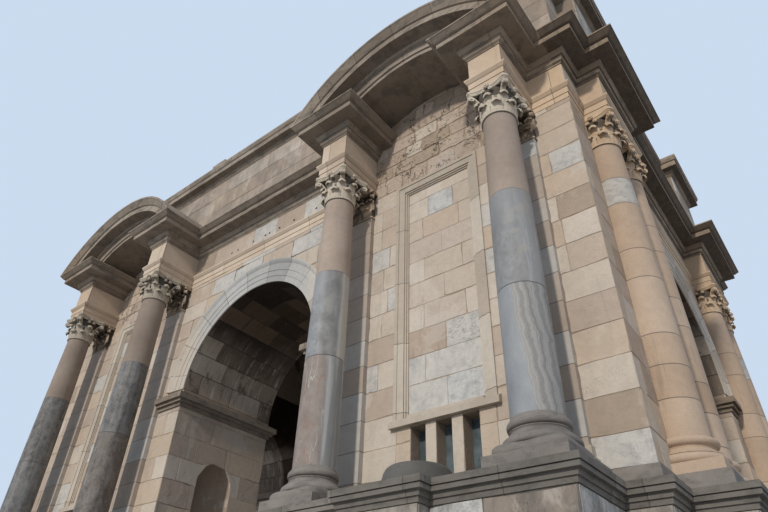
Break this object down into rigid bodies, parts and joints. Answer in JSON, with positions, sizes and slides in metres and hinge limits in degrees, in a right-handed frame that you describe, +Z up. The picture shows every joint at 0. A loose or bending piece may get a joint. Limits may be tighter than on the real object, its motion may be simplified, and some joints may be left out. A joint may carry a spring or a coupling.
{
  "type": "triumphal arch",
  "caption": "Four-way ashlar triumphal arch with free columns, arched pediments over the side bays, engaged side columns and an attic.",
  "frame": {"origin": "ground level under the middle of the plan, where the two passages cross", "axes": "+X to the right along the main front, +Y away from the main front, +Z up"},
  "size_m": [21.338, 16.06, 17.3812],
  "materials": {
    "limestone": "matte",
    "pale_limestone": "matte",
    "podium_stone": "matte",
    "veined_marble": "satin",
    "cornice_stone": "matte",
    "window_glass": "gloss"
  },
  "bodies": {
    "root": {"podium_dies": "podium_stone", "podium_caps": "podium_stone", "wall_courses": "limestone", "front_walls": "limestone", "back_walls": "limestone", "side_walls": "limestone", "passage_jambs": "limestone", "side_jambs": "limestone", "hall_walls": "limestone", "main_arches": "limestone", "side_arches": "limestone", "archivolts": "pale_limestone", "imposts": "cornice_stone", "panel_frames": "pale_limestone", "window_glass": "window_glass", "column_bases": "podium_stone", "side_column_bases": "limestone", "marble_drums": "veined_marble", "upper_drums": "limestone", "side_shafts": "limestone", "front_capitals": "pale_limestone", "back_capitals": "pale_limestone", "side_capitals": "pale_limestone", "pilasters": "pale_limestone", "pilaster_bases": "pale_limestone", "pilaster_capitals": "pale_limestone", "bay_upper_walls": "limestone", "pediments": "cornice_stone", "hall_vault": "limestone", "hall_lunettes": "limestone", "attic_walls": "pale_limestone", "attic_cornice": "cornice_stone", "attic_block": "cornice_stone", "roof_slab": "cornice_stone", "front_architrave": "limestone", "front_frieze": "limestone", "front_cornice": "cornice_stone", "back_architrave": "limestone", "back_frieze": "limestone", "back_cornice": "cornice_stone", "left_architrave": "limestone", "left_frieze": "limestone", "left_cornice": "cornice_stone", "right_architrave": "limestone", "right_frieze": "limestone", "right_cornice": "cornice_stone", "bay_pedestals": "podium_stone"}
  },
  "joints": []
}
